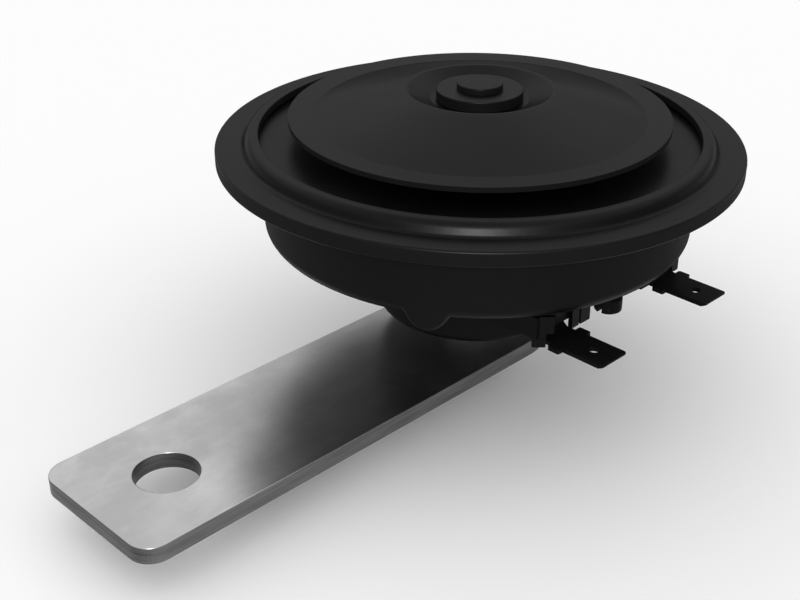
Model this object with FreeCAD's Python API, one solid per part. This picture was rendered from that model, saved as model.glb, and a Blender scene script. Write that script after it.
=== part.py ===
import FreeCAD, Part
import math
import os

# Disc horn on a flat bar. Millimetres, +Z up. The origin is the middle of the bar's fixing hole, on the
# bar's underside. The horn's own axis is vertical, at x = bar_reach. The blades point along -Y.

Vector = FreeCAD.Vector
UP = Vector(0, 0, 1)
HERE = Vector(0, 0, 0)

# Bar
bar_reach = 71.35
bar_width = 28.5
bar_thickness = 3.0
bar_end_margin = 14.25
bar_corner_radius = 4.0
fixing_hole_radius = 5.3

# Fixing on the bar: thin nut above it, toothed washer and nut below it
stud_radius = 4.0
stud_clearance = 0.2
nut_width = 13.0
nut_countersink = 0.3
nut_flat_share = 0.96
nut_chamfer_angle = 30
seat_nut_height = 4.0
bracket_nut_height = 4.0
lock_washer_thickness = 0.8
lock_washer_radius = 7.5
lock_washer_teeth = 12
stud_end_length = 1.7
stud_end_chamfer = 0.5
thread_gap = 0.05
tooth_depth_share = 0.5
tooth_slot_share = 0.3

# Rear housing, a pressed sheet: a deep cup in the middle of a wide pan
housing_sheet = 0.8
pan_floor_width = 20.4
cup_draft = 0.5
cup_depth = 15.8
cup_edge_radius = 1.8
flange_width = 8.2
pan_draft = 0.8
pan_depth = 15.4
pan_edge_radius = 2.6
shoulder_radius = 2.2
rib_radius = 4.0
rib_drop = 2.2
rib_length = 14.4
rib_angle = 210.0
rib_edge_radius = 0.9

# Rolled front ring that clamps the diaphragm between two gaskets
rim_radius = 46.6
ring_sheet = 0.6
ring_width = 7.7
ring_lip_width = 2.0
ring_lip_edge = 0.25
ring_lip_drop = 1.5
bead_height = 2.05
bead_slope_width = 1.0
bead_crown_radius = 1.6
bead_foot_radius = 0.7
rim_edge_radius = 0.7
hem_width = 3.6
gasket_thickness = 0.2
gasket_bead_gap = 0.7
rim_gap = 0.3

# Diaphragm
diaphragm_sheet = 0.25
diaphragm_rise = 1.05
diaphragm_slope_width = 1.3
diaphragm_slope_gap = 1.3
diaphragm_bend_radius = 0.9

# Tone disc and what clamps it
disc_sheet = 0.9
disc_ring_gap = 5.3
disc_lip_width = 4.3
disc_lip_drop = 0.1
disc_lip_height = 4.5
disc_crest_radius = 12.96
disc_crest_height = 2.1
disc_seat_radius = 8.6
disc_bend_radius = 1.1
spacer_height = 5.8
spacer_radius = 6.5
spacer_flange_radius = 8.5
spacer_flange_thickness = 1.2
spacer_edge = 0.3
clamp_washer_radius = 7.63
clamp_washer_thickness = 2.0
washer_edge = 0.3
pin_radius = 3.0
pin_head_radius = 4.04
pin_head_height = 1.1
pin_head_edge = 0.25

# Armature and magnet. The core takes a share of the coil's radius and the rest is left to the winding
armature_overhang = 5.5
armature_height = 6.0
armature_boss_height = 3.0
armature_floor = 2.05
armature_edge = 0.5
air_gap = 0.6
core_share = 0.4375
core_edge = 0.4
clip_thickness = 1.0
clip_groove_depth = 0.5
clip_width = 2.0
clip_mouth = 5.0
clip_distance = 1.0
bobbin_wall = 1.0
bobbin_gap = 0.2
coil_cup_gap = 0.2
winding_margin = 0.7
lead_notch_radius = 0.9

# Terminals on one moulded board under the pan
terminal_spacing = 28.8
blade_width = 6.3
blade_thickness = 0.8
blade_length = 8.0
blade_stand_off = 1.0
blade_corner = 0.3
blade_tip_chamfer = 0.3
blade_tip_bevel = 1.0
blade_tip_thickness = 0.35
blade_hole_radius = 0.9
blade_hole_distance = 4.15
blade_shoulder_width = 8.5
blade_shoulder_length = 2.3
blade_neck_width = 6.0
blade_joggle = 1.3
blade_joggle_start = 4.0
blade_joggle_run = 1.6
board_thickness = 3.9
board_pan_inset = 6.9
board_leg_thickness = 0.8
board_leg_drop = 1.7
board_corner = 0.8
board_left_leg_width = 2.65
board_left_leg_top_width = 4.4
board_right_leg_width = 1.85
corner_leg_angle = 45.0
corner_leg_width = 3.5
corner_leg_foot_width = 2.25
corner_leg_step = 0.8
board_leg_gap = 0.35
board_post_width = 2.5
board_post_offset = 7.2
board_relief = 0.9
spigot_radius = 2.5
spigot_gap = 0.1
terminal_rivet_inset = 7.0
rivet_dome_share = 0.7
terminal_rivet_radius = 1.5
terminal_rivet_head_radius = 2.6
terminal_rivet_head_height = 0.8
insulator_radius = 4.2
insulator_thickness = 0.8
tag_radius = 2.9
tag_thickness = 0.5
tag_tail_reach = 3.9
tag_tail_height = 3.2
tag_tail_width = 2.6

# Adjusting screw, with its lock nut under the pan
adjuster_offset = 1.0
adjuster_pan_inset = 8.4
adjuster_radius = 2.4
adjuster_tip_radius = 1.4
adjuster_drop = 7.0
adjuster_slot_width = 0.8
adjuster_slot_depth = 1.2
adjuster_edge = 0.6
adjuster_nut_width = 8.0
adjuster_nut_height = 2.7
adjuster_nut_room = 1.0
collar_wall = 1.3
collar_share = 0.6

# Contact breaker on a springy carrier strip
carrier_sheet = 0.8
carrier_width = 9.0
carrier_foot_length = 4.2
carrier_slope_run = 2.2
carrier_pan_inset = 2.1
carrier_rivet_spacing = 5.2
carrier_rivet_inset = 1.9
carrier_rivet_radius = 1.0
small_head_height = 0.6
small_head_extra = 0.8
spring_sheet = 0.3
spring_width = 6.0
spring_tip_width = 4.0
spring_clip_gap = 0.7
contact_radius = 1.5
contact_height = 0.8
contact_armature_gap = 3.0
contact_shank_radius = 0.7
contact_margin = 0.3
fixed_arm_sheet = 1.0
fixed_arm_width = 7.0
fixed_arm_tip_width = 4.6
arm_hole_gap = 0.5
arm_tip_round_share = 0.9
stack_length = 4.6
stack_width = 8.0
stack_corner = 0.5
stack_base_insulator = 1.5
stack_top_insulator = 0.8
stack_rivet_radius = 1.3
stack_rivet_gap = 0.05
pusher_radius = 1.5
pusher_length = 1.75
pusher_depth = 2.0
pusher_gap = 0.1
pusher_edge_distance = 0.4

# Leads
lead_radius = 0.4
lead_bend_share = 0.45
lead_rise = 2.4
lead_start_angle = 35.0
lead_arm_inset = 1.5
lead_side_room = 5.0

# Heights that follow
cup_bottom = bar_thickness + seat_nut_height
cup_floor = cup_bottom + housing_sheet
pan_bottom = cup_bottom + cup_depth
pan_floor = pan_bottom + housing_sheet
flange_top = pan_bottom + pan_depth
flange_under = flange_top - housing_sheet
diaphragm_edge_under = flange_top + gasket_thickness
diaphragm_edge_top = diaphragm_edge_under + diaphragm_sheet
ring_under = diaphragm_edge_top + gasket_thickness
rim_top = ring_under + ring_sheet
hem_under = flange_under - ring_sheet
diaphragm_top = diaphragm_edge_top + diaphragm_rise
diaphragm_under = diaphragm_top - diaphragm_sheet
disc_seat_under = diaphragm_top + spacer_height
disc_seat_top = disc_seat_under + disc_sheet
clamp_washer_top = disc_seat_top + clamp_washer_thickness
armature_top = diaphragm_under - armature_boss_height
armature_under = armature_top - armature_height
core_top = armature_under - air_gap
clip_top = core_top - clip_distance
bobbin_top = clip_top - clip_thickness
board_under = pan_bottom - board_thickness
blade_top = board_under - blade_joggle
spring_top = armature_under - pusher_length - pusher_gap
spring_under = spring_top - spring_sheet
carrier_top = spring_under - stack_base_insulator
carrier_under = carrier_top - carrier_sheet
collar_top = pan_floor + collar_share * (carrier_under - pan_floor)
fixed_arm_under = spring_top + 2 * contact_height
fixed_arm_top = fixed_arm_under + fixed_arm_sheet
stack_top = fixed_arm_top + stack_top_insulator
tag_under = pan_floor + insulator_thickness
tag_top = tag_under + tag_thickness
bracket_nut_top = -lock_washer_thickness
stud_bottom = bracket_nut_top - bracket_nut_height - stud_end_length

# Radii that follow, and distances from the horn's axis towards the blades
pan_radius = rim_radius - flange_width
cup_radius = pan_radius - pan_floor_width
clamped_radius = rim_radius - ring_sheet - rim_gap
ring_lip_radius = rim_radius - ring_width
disc_radius = ring_lip_radius - disc_ring_gap
gasket_inner_radius = ring_lip_radius + ring_lip_width + bead_slope_width + gasket_bead_gap
coil_radius = cup_radius - cup_edge_radius - coil_cup_gap
core_radius = core_share * coil_radius
armature_radius = core_radius + armature_overhang
bobbin_bore_radius = core_radius + bobbin_gap
clip_inner_radius = core_radius - clip_groove_depth + thread_gap
shoulder_distance = cup_radius + cup_draft + shoulder_radius
board_front = pan_radius - board_pan_inset
blade_root = board_front + blade_stand_off
blade_step = blade_root + blade_shoulder_length
blade_tip = blade_step + blade_length
board_leg_opening = blade_neck_width + 2 * board_leg_gap
terminal_rivet_distance = cup_radius + terminal_rivet_inset
adjuster_distance = pan_radius - adjuster_pan_inset
carrier_outer_distance = pan_radius - carrier_pan_inset
carrier_rivet_distance = shoulder_distance + carrier_rivet_inset
stack_distance = carrier_outer_distance - stack_length / 2
pusher_distance = armature_radius - pusher_radius - pusher_edge_distance
spring_tip_distance = clip_inner_radius + clip_width + spring_clip_gap
contact_distance = armature_radius + contact_armature_gap + contact_radius
fixed_arm_tip_distance = contact_distance - contact_radius - contact_margin


def on_xy(u, v):
    return Vector(u, v, 0)


def on_xz(u, v):
    return Vector(u, 0, v)


def on_yz(u, v):
    return Vector(0, u, v)


def corner_arc(before, corner, after, radius):
    """Start, middle and end of the arc that rounds a corner and meets both its sides smoothly."""
    to_before = (before - corner).normalize()
    to_after = (after - corner).normalize()
    half = to_before.getAngle(to_after) / 2
    reach = radius / math.tan(half)
    inward = (to_before + to_after).normalize()
    middle = corner + inward * (radius / math.sin(half) - radius)
    return corner + to_before * reach, middle, corner + to_after * reach


def rounded_edges(points, place, closed=False):
    """Straight edges joined by arcs. A point is two coordinates and the radius of its corner."""
    spots = [place(u, v) for u, v, _ in points]
    stops = []
    for index, (spot, point) in enumerate(zip(spots, points)):
        is_end = not closed and index in (0, len(points) - 1)
        if is_end or point[2] <= 0:
            stops.append((spot, None, spot))
        else:
            after = spots[(index + 1) % len(spots)]
            stops.append(corner_arc(spots[index - 1], spot, after, point[2]))
    edges = []
    following = stops[1:] + (stops[:1] if closed else [])
    for stop in stops if closed else stops[:-1]:
        nearest = following.pop(0)
        if stop[1] is not None:
            edges.append(Part.Arc(*stop).toShape())
        if stop[2].distanceToPoint(nearest[0]) > 1e-6:
            edges.append(Part.LineSegment(stop[2], nearest[0]).toShape())
    return edges


def outline_face(points, place):
    """A flat face inside a closed outline."""
    edges = rounded_edges(points, place, closed=True)
    return Part.Face(Part.Wire(Part.__sortEdges__(edges)))


def plate(points, bottom, top):
    """A flat plate whose outline lies in the XY plane."""
    face = outline_face(points, on_xy)
    face.translate(Vector(0, 0, bottom))
    return face.extrude(Vector(0, 0, top - bottom))


def turned(points):
    """A solid of revolution about Z from a closed outline of radius and height."""
    return outline_face(points, on_xz).revolve(HERE, UP, 360)


def parallel_path(points, gap):
    """The path moved to its left by gap, with the radius of each bend changed to match."""
    normals = []
    for (u0, v0, _), (u1, v1, _) in zip(points, points[1:]):
        length = math.hypot(u1 - u0, v1 - v0)
        normals.append(((v0 - v1) / length, (u1 - u0) / length))
    first, last = points[0], points[-1]
    moved = [(first[0] + gap * normals[0][0], first[1] + gap * normals[0][1], 0)]
    for (u, v, radius), (au, av), (bu, bv) in zip(points[1:-1], normals, normals[1:]):
        reach = gap / (1 + au * bu + av * bv)
        bends_left = au * bv - av * bu > 0
        new_radius = radius - gap if bends_left else radius + gap
        moved.append((u + reach * (au + bu), v + reach * (av + bv), max(new_radius, 0)))
    moved.append((last[0] + gap * normals[-1][0], last[1] + gap * normals[-1][1], 0))
    return moved


def sheet_outline(points, gap):
    """The closed outline of a sheet that lies to the left of a path."""
    return points + parallel_path(points, gap)[::-1]


def pressed(points, gap):
    """A sheet of even thickness turned about Z, from the path of one of its faces."""
    return turned(sheet_outline(points, gap))


def bent_strip(points, gap, width):
    """A strip of sheet bent along a path in the YZ plane, centred on x = 0."""
    face = outline_face(sheet_outline(points, gap), on_yz)
    face.translate(Vector(-width / 2, 0, 0))
    return face.extrude(Vector(width, 0, 0))


def rod(radius, bottom, top, x=0.0, y=0.0):
    return Part.makeCylinder(radius, top - bottom, Vector(x, y, bottom))


def rectangle(left, right, front, back, radius=0.0):
    return [(left, front, radius), (right, front, radius), (right, back, radius), (left, back, radius)]


def chamfered_disc(radius, bottom, top, edge):
    """A disc whose top edge is chamfered."""
    return turned([
        (0, bottom, 0), (radius, bottom, 0), (radius, top - edge, 0), (radius - edge, top, 0), (0, top, 0),
    ])


def hexagon(width, bottom, top):
    """A hexagonal prism with the corners of both ends chamfered as on a nut."""
    corner = width / math.sqrt(3)
    turns = [math.radians(60 * side) for side in range(6)]
    prism = plate([(corner * math.cos(a), corner * math.sin(a), 0) for a in turns], bottom, top)
    flat = nut_flat_share * width / 2
    drop = (corner - flat) * math.tan(math.radians(nut_chamfer_angle))
    envelope = turned([
        (0, bottom, 0), (flat, bottom, 0), (corner, bottom + drop, 0),
        (corner, top - drop, 0), (flat, top, 0), (0, top, 0),
    ])
    return prism.common(envelope)


def hex_nut(width, bottom, top, bore_radius):
    """A nut with a small countersink at each end of its bore."""
    mouth = bore_radius + nut_countersink
    bore = turned([
        (0, bottom, 0), (mouth, bottom, 0), (bore_radius, bottom + nut_countersink, 0),
        (bore_radius, top - nut_countersink, 0), (mouth, top, 0), (0, top, 0),
    ])
    return hexagon(width, bottom, top).cut(bore)


def rivet(radius, bottom, top, head_radius, head_height, x, y):
    """A rivet that clamps what lies between bottom and top, with a domed head at each end."""
    dome = rivet_dome_share * head_height
    shape = turned([
        (0, bottom - head_height, 0), (head_radius, bottom - head_height, dome), (head_radius, bottom, 0),
        (radius, bottom, 0), (radius, top, 0),
        (head_radius, top, 0), (head_radius, top + head_height, dome), (0, top + head_height, 0),
    ])
    shape.translate(Vector(x, y, 0))
    return shape


def small_rivet(radius, bottom, top, x, y):
    return rivet(radius, bottom, top, radius + small_head_extra, small_head_height, x, y)


def terminal_offsets():
    return [-terminal_spacing / 2, terminal_spacing / 2]


def bracket_bar():
    """Flat bar with small corners at its free end and a full round about the horn's stud."""
    half = bar_width / 2
    far_end = -bar_reach - bar_end_margin
    bar = plate([
        (far_end, -half, bar_corner_radius), (0, -half, 0), (0, half, 0), (far_end, half, bar_corner_radius),
    ], 0, bar_thickness)
    bar = bar.fuse(rod(half, 0, bar_thickness)).removeSplitter()
    bar = bar.cut(rod(fixing_hole_radius, 0, bar_thickness, -bar_reach))
    return bar.cut(rod(stud_radius + stud_clearance, 0, bar_thickness))


def lock_washer():
    """Washer with a ring of outer teeth, each a tab left between two slots."""
    washer = rod(lock_washer_radius, bracket_nut_top, 0)
    washer = washer.cut(rod(stud_radius + stud_clearance, bracket_nut_top, 0))
    slot_depth = tooth_depth_share * (lock_washer_radius - stud_radius)
    slot_width = tooth_slot_share * 2 * math.pi * lock_washer_radius / lock_washer_teeth
    slot = Part.makeBox(2 * slot_depth, slot_width, lock_washer_thickness,
                        Vector(lock_washer_radius - slot_depth, -slot_width / 2, bracket_nut_top))
    slots = []
    for tooth in range(lock_washer_teeth):
        copy = slot.copy()
        copy.rotate(HERE, UP, 360 / lock_washer_teeth * tooth)
        slots.append(copy)
    return washer.cut(Part.makeCompound(slots))


def housing_rib(radius, outer_radius, edge):
    """A round-bottomed rib that runs outwards under the pan and ends flush with its wall."""
    height = pan_bottom - rib_drop + rib_radius
    inner = outer_radius - rib_length
    rib = Part.makeCylinder(radius, outer_radius, Vector(inner, 0, height), Vector(1, 0, 0))
    rib = rib.fuse(Part.makeSphere(radius, Vector(inner, 0, height))).removeSplitter()
    bottom = height - radius
    limit = turned([(0, bottom, 0), (outer_radius, bottom, edge), (outer_radius, height, 0), (0, height, 0)])
    rib = rib.common(limit)
    rib.rotate(HERE, UP, rib_angle)
    return rib


def rear_housing():
    """Pressed cup and pan with a flat flange, a rib, a threaded collar and the rivet holes."""
    shell = pressed([
        (stud_radius + stud_clearance, cup_bottom, 0),
        (cup_radius, cup_bottom, cup_edge_radius),
        (cup_radius + cup_draft, pan_bottom, shoulder_radius),
        (pan_radius, pan_bottom, pan_edge_radius),
        (pan_radius + pan_draft, flange_under, shoulder_radius),
        (clamped_radius, flange_under, 0),
    ], housing_sheet)
    wall_at_edge = pan_radius + pan_draft * pan_edge_radius / pan_depth
    outer_rib = housing_rib(rib_radius, wall_at_edge, rib_edge_radius)
    inner_rib = housing_rib(rib_radius - housing_sheet, wall_at_edge - housing_sheet, 0)
    shell = shell.fuse(outer_rib).cut(inner_rib)
    bore = adjuster_radius + thread_gap
    shell = shell.fuse(rod(bore + collar_wall, pan_bottom, collar_top, adjuster_offset, -adjuster_distance))
    holes = [rod(bore, pan_bottom, collar_top, adjuster_offset, -adjuster_distance)]
    for x in terminal_offsets():
        holes.append(rod(spigot_radius + spigot_gap, pan_bottom, pan_floor, x, -terminal_rivet_distance))
    for x in carrier_rivet_places():
        holes.append(rod(carrier_rivet_radius, pan_bottom, pan_floor, x, -carrier_rivet_distance))
    return shell.cut(Part.makeCompound(holes)).removeSplitter()


def front_ring():
    """Ring with a turned-down inner lip, a raised bead, a flat rim and a hem rolled under the flange."""
    crown = ring_lip_radius + ring_lip_width
    bead_top = rim_top + bead_height
    return pressed([
        (ring_lip_radius, bead_top - ring_lip_drop, 0),
        (ring_lip_radius, bead_top, ring_lip_edge),
        (crown, bead_top, bead_crown_radius),
        (crown + bead_slope_width, rim_top, bead_foot_radius),
        (rim_radius, rim_top, rim_edge_radius),
        (rim_radius, hem_under, rim_edge_radius),
        (rim_radius - hem_width, hem_under, 0),
    ], -ring_sheet)


def gasket(bottom):
    ring = rod(clamped_radius, bottom, bottom + gasket_thickness)
    return ring.cut(rod(gasket_inner_radius, bottom, bottom + gasket_thickness))


def diaphragm():
    """Thin sheet clamped at its edge, with a step up to the flat middle."""
    foot = gasket_inner_radius - diaphragm_slope_gap
    return pressed([
        (pin_radius + thread_gap, diaphragm_under, 0),
        (foot - diaphragm_slope_width, diaphragm_under, diaphragm_bend_radius),
        (foot, diaphragm_edge_under, diaphragm_bend_radius),
        (clamped_radius, diaphragm_edge_under, 0),
    ], diaphragm_sheet)


def tone_disc():
    """Shallow cone with a flat lip, whose crest turns down into a dish round the flat seat."""
    crest_top = disc_seat_top + disc_crest_height
    lip_top = crest_top - disc_lip_height
    return pressed([
        (pin_radius + thread_gap, disc_seat_top, 0),
        (disc_seat_radius, disc_seat_top, disc_bend_radius),
        (disc_crest_radius, crest_top, disc_bend_radius),
        (disc_radius - disc_lip_width, lip_top, disc_bend_radius),
        (disc_radius, lip_top + disc_lip_drop, 0),
    ], -disc_sheet)


def clamp_washer():
    disc = chamfered_disc(clamp_washer_radius, disc_seat_top, clamp_washer_top, washer_edge)
    return disc.cut(rod(pin_radius + thread_gap, disc_seat_top, clamp_washer_top))


def tone_disc_spacer():
    """Collar that stands on the diaphragm on a wider foot and carries the tone disc."""
    bore = pin_radius + thread_gap
    return turned([
        (bore, diaphragm_top, 0), (spacer_flange_radius, diaphragm_top, 0),
        (spacer_flange_radius, diaphragm_top + spacer_flange_thickness, spacer_edge),
        (spacer_radius, diaphragm_top + spacer_flange_thickness, spacer_edge),
        (spacer_radius, disc_seat_under, 0), (bore, disc_seat_under, 0),
    ])


def armature_stud():
    """Pin that holds disc, spacer, diaphragm and armature together under its riveted head."""
    head_top = clamp_washer_top + pin_head_height
    return turned([
        (0, armature_under + armature_floor, 0), (pin_radius, armature_under + armature_floor, 0),
        (pin_radius, clamp_washer_top, 0), (pin_head_radius, clamp_washer_top, 0),
        (pin_head_radius, head_top, pin_head_edge), (0, head_top, 0),
    ])


def armature():
    """Heavy steel disc with a boss against the diaphragm, bored for the stud and the pusher."""
    bore = pin_radius + thread_gap
    blind = armature_under + armature_floor
    disc = turned([
        (0, armature_under, 0), (armature_radius, armature_under, armature_edge),
        (armature_radius, armature_top, armature_edge), (spacer_radius, armature_top, armature_edge),
        (spacer_radius, diaphragm_under, 0), (bore, diaphragm_under, 0),
        (bore, blind, 0), (0, blind, 0),
    ])
    return disc.cut(rod(pusher_radius + thread_gap, armature_under, armature_under + pusher_depth,
                        adjuster_offset, -pusher_distance))


def breaker_pusher():
    """Fibre pin in the armature's underside that presses on the breaker's spring."""
    return rod(pusher_radius, spring_top + pusher_gap, armature_under + pusher_depth,
               adjuster_offset, -pusher_distance)


def magnet_core():
    """Turned core with a groove for the clip, in one piece with the stud through the bar."""
    groove = core_radius - clip_groove_depth
    return turned([
        (0, stud_bottom, 0), (stud_radius - stud_end_chamfer, stud_bottom, 0),
        (stud_radius, stud_bottom + stud_end_chamfer, 0),
        (stud_radius, cup_floor, 0), (core_radius, cup_floor, 0),
        (core_radius, bobbin_top, 0), (groove, bobbin_top, 0), (groove, clip_top, 0),
        (core_radius, clip_top, 0), (core_radius, core_top - core_edge, 0),
        (core_radius - core_edge, core_top, 0), (0, core_top, 0),
    ])


def coil_retainer():
    """Open spring clip in the core's groove, over the bobbin."""
    outer_radius = clip_inner_radius + clip_width
    clip = rod(outer_radius, bobbin_top, clip_top).cut(rod(clip_inner_radius, bobbin_top, clip_top))
    mouth = Part.makeBox(clip_mouth, outer_radius, clip_thickness, Vector(-clip_mouth / 2, 0, bobbin_top))
    return clip.cut(mouth)


def coil_bobbin():
    """Bobbin with two flanges; the upper one is notched where the two leads come up."""
    barrel = bobbin_bore_radius + bobbin_wall
    bobbin = turned([
        (bobbin_bore_radius, cup_floor, 0), (coil_radius, cup_floor, 0),
        (coil_radius, cup_floor + bobbin_wall, 0), (barrel, cup_floor + bobbin_wall, 0),
        (barrel, bobbin_top - bobbin_wall, 0), (coil_radius, bobbin_top - bobbin_wall, 0),
        (coil_radius, bobbin_top, 0), (bobbin_bore_radius, bobbin_top, 0),
    ])
    notches = [rod(lead_notch_radius, bobbin_top - bobbin_wall, bobbin_top, *spot) for spot in lead_starts()]
    return bobbin.cut(Part.makeCompound(notches))


def coil_winding():
    outer = coil_radius - winding_margin
    bottom, top = cup_floor + bobbin_wall, bobbin_top - bobbin_wall
    return rod(outer, bottom, top).cut(rod(bobbin_bore_radius + bobbin_wall, bottom, top))


def terminal_blade(x):
    """Spade blade with a bevelled tip and a shoulder, joggled up behind it to lie against the board."""
    half, shoulder, narrow = blade_width / 2, blade_shoulder_width / 2, blade_neck_width / 2
    low, high = blade_top - 2 * blade_thickness, board_under
    bend = -blade_step + blade_joggle_start
    strip = bent_strip([
        (-blade_tip, blade_top, 0), (bend, blade_top, blade_thickness),
        (bend + blade_joggle_run, board_under, 2 * blade_thickness),
        (-terminal_rivet_distance + narrow, board_under, 0),
    ], -blade_thickness, blade_shoulder_width)
    bevel = outline_face([
        (-blade_tip, blade_top - blade_tip_thickness, 0), (-blade_tip, blade_top - blade_thickness, 0),
        (-blade_tip + blade_tip_bevel, blade_top - blade_thickness, 0),
    ], on_yz)
    bevel.translate(Vector(-half, 0, 0))
    strip = strip.cut(bevel.extrude(Vector(blade_width, 0, 0)))
    shape = plate([
        (-half + blade_tip_chamfer, -blade_tip, 0), (half - blade_tip_chamfer, -blade_tip, 0),
        (half, -blade_tip + blade_tip_chamfer, 0), (half, -blade_step, 0),
        (shoulder, -blade_step, blade_corner), (shoulder, -blade_root, blade_corner),
        (narrow, -blade_root, 0), (narrow, -terminal_rivet_distance, 0),
        (-narrow, -terminal_rivet_distance, 0), (-narrow, -blade_root, 0),
        (-shoulder, -blade_root, blade_corner), (-shoulder, -blade_step, blade_corner),
        (-half, -blade_step, 0), (-half, -blade_tip + blade_tip_chamfer, 0),
    ], low, high)
    shape = shape.fuse(rod(narrow, low, high, 0, -terminal_rivet_distance))
    holes = [
        rod(blade_hole_radius, low, high, 0, -blade_tip + blade_hole_distance),
        rod(terminal_rivet_radius, low, high, 0, -terminal_rivet_distance),
    ]
    blade = strip.common(shape).cut(Part.makeCompound(holes)).removeSplitter()
    blade.translate(Vector(x, 0, 0))
    return blade


def board_leg(left, right, bottom, front):
    """One flat leg in the board's front apron."""
    return Part.makeBox(right - left, board_leg_thickness, pan_bottom - bottom, Vector(left, -front, bottom))


def corner_leg(x, y, bottom):
    """The board's outermost left leg, turned across its corner, with a narrower foot."""
    upper = Part.makeBox(corner_leg_width, board_leg_thickness, pan_bottom - board_under - corner_leg_step,
                         Vector(0, 0, board_under + corner_leg_step))
    foot = Part.makeBox(corner_leg_foot_width, board_leg_thickness, pan_bottom - bottom, Vector(0, 0, bottom))
    leg = upper.fuse(foot)
    leg.rotate(HERE, UP, -corner_leg_angle)
    leg.translate(Vector(x, y, 0))
    return leg


def terminal_board():
    """Moulded board under the pan with legs beside each blade and a notch for the adjuster's nut."""
    left_edge = -terminal_spacing / 2 - board_leg_opening / 2 - board_left_leg_width
    right_edge = terminal_spacing / 2 + board_leg_opening / 2 + board_right_leg_width
    body_front = board_front - board_leg_thickness
    board = plate([
        (left_edge, -body_front, 0), (right_edge, -body_front, board_corner),
        (right_edge, -shoulder_distance, board_corner), (left_edge, -shoulder_distance, board_corner),
    ], board_under, pan_bottom)
    leg_bottom = board_under - board_leg_drop
    for x in terminal_offsets():
        left, right = x - board_leg_opening / 2, x + board_leg_opening / 2
        outer = left - board_left_leg_width
        leg = board_leg(outer, left, leg_bottom, board_front)
        if x < 0:
            leg = corner_leg(left_edge, -body_front, leg_bottom)
        board = board.fuse(leg)
        board = board.fuse(board_leg(outer, outer + board_left_leg_top_width, board_under, board_front))
        board = board.fuse(board_leg(right, right + board_right_leg_width, leg_bottom, board_front))
        board = board.fuse(rod(spigot_radius, pan_bottom, pan_floor, x, -terminal_rivet_distance))
    post = adjuster_offset - board_post_offset
    board = board.fuse(board_leg(post - board_post_width, post, leg_bottom, board_front))
    room = adjuster_nut_width / math.sqrt(3) + adjuster_nut_room
    notch_back = -adjuster_distance + room
    notch = Part.makeBox(2 * room, board_front + notch_back, board_thickness,
                         Vector(adjuster_offset - room, -board_front, board_under))
    relief = Part.makeBox(2 * room, adjuster_distance - shoulder_distance, board_relief,
                          Vector(adjuster_offset - room, -adjuster_distance, pan_bottom - board_relief))
    board = board.cut(notch).cut(relief)
    for x in terminal_offsets():
        board = board.cut(rod(terminal_rivet_radius, board_under, pan_floor, x, -terminal_rivet_distance))
    return board.removeSplitter()


def terminal_rivets():
    return Part.makeCompound([
        rivet(terminal_rivet_radius, board_under - blade_thickness, tag_top,
              terminal_rivet_head_radius, terminal_rivet_head_height, x, -terminal_rivet_distance)
        for x in terminal_offsets()
    ])


def inner_insulators():
    """One fibre washer under each tag, inside the pan."""
    washers = []
    for x in terminal_offsets():
        washer = rod(insulator_radius, pan_floor, tag_under)
        washer = washer.cut(rod(terminal_rivet_radius, pan_floor, tag_under))
        washer.translate(Vector(x, -terminal_rivet_distance, 0))
        washers.append(washer)
    return Part.makeCompound(washers)


def solder_tags():
    """Tags under the inner rivet heads, each with a tail turned up for its lead."""
    tags = []
    for x in terminal_offsets():
        tail = bent_strip([
            (0, tag_under, 0), (tag_tail_reach, tag_under, 2 * tag_thickness),
            (tag_tail_reach, tag_under + tag_tail_height, 0),
        ], tag_thickness, tag_tail_width)
        tag = rod(tag_radius, tag_under, tag_top).fuse(tail)
        tag = tag.cut(rod(terminal_rivet_radius, tag_under, tag_top))
        tag.translate(Vector(x, -terminal_rivet_distance, 0))
        tags.append(tag.removeSplitter())
    return Part.makeCompound(tags)


def adjuster_screw():
    """Slotted screw through the pan's collar; its thinner tip lifts the carrier strip."""
    bottom = pan_bottom - adjuster_drop
    screw = turned([
        (0, bottom, 0), (adjuster_radius - adjuster_edge, bottom, 0),
        (adjuster_radius, bottom + adjuster_edge, 0), (adjuster_radius, collar_top, 0),
        (adjuster_tip_radius, collar_top, 0), (adjuster_tip_radius, carrier_under, 0), (0, carrier_under, 0),
    ])
    slot = Part.makeBox(2 * adjuster_radius, adjuster_slot_width, adjuster_slot_depth,
                        Vector(-adjuster_radius, -adjuster_slot_width / 2, bottom))
    screw = screw.cut(slot)
    screw.translate(Vector(adjuster_offset, -adjuster_distance, 0))
    return screw


def adjuster_nut():
    bottom = pan_bottom - adjuster_nut_height
    nut = hex_nut(adjuster_nut_width, bottom, pan_bottom, adjuster_radius + thread_gap)
    nut.translate(Vector(adjuster_offset, -adjuster_distance, 0))
    return nut


def carrier_rivet_places():
    return [adjuster_offset - carrier_rivet_spacing / 2, adjuster_offset + carrier_rivet_spacing / 2]


def breaker_carrier():
    """Springy strip riveted to the floor by its foot, raised over the adjuster's tip."""
    foot_end = -shoulder_distance - carrier_foot_length
    strip = bent_strip([
        (-shoulder_distance, pan_floor, 0),
        (foot_end, pan_floor, carrier_sheet),
        (foot_end - carrier_slope_run, carrier_under, 2 * carrier_sheet),
        (-carrier_outer_distance, carrier_under, 0),
    ], -carrier_sheet, carrier_width)
    strip.translate(Vector(adjuster_offset, 0, 0))
    holes = [rod(carrier_rivet_radius, pan_floor, pan_floor + carrier_sheet, x, -carrier_rivet_distance)
             for x in carrier_rivet_places()]
    holes.append(rod(stack_rivet_radius, carrier_under, carrier_top, adjuster_offset, -stack_distance))
    return strip.cut(Part.makeCompound(holes))


def carrier_rivets():
    return Part.makeCompound([
        small_rivet(carrier_rivet_radius, pan_bottom, pan_floor + carrier_sheet, x, -carrier_rivet_distance)
        for x in carrier_rivet_places()
    ])


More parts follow.
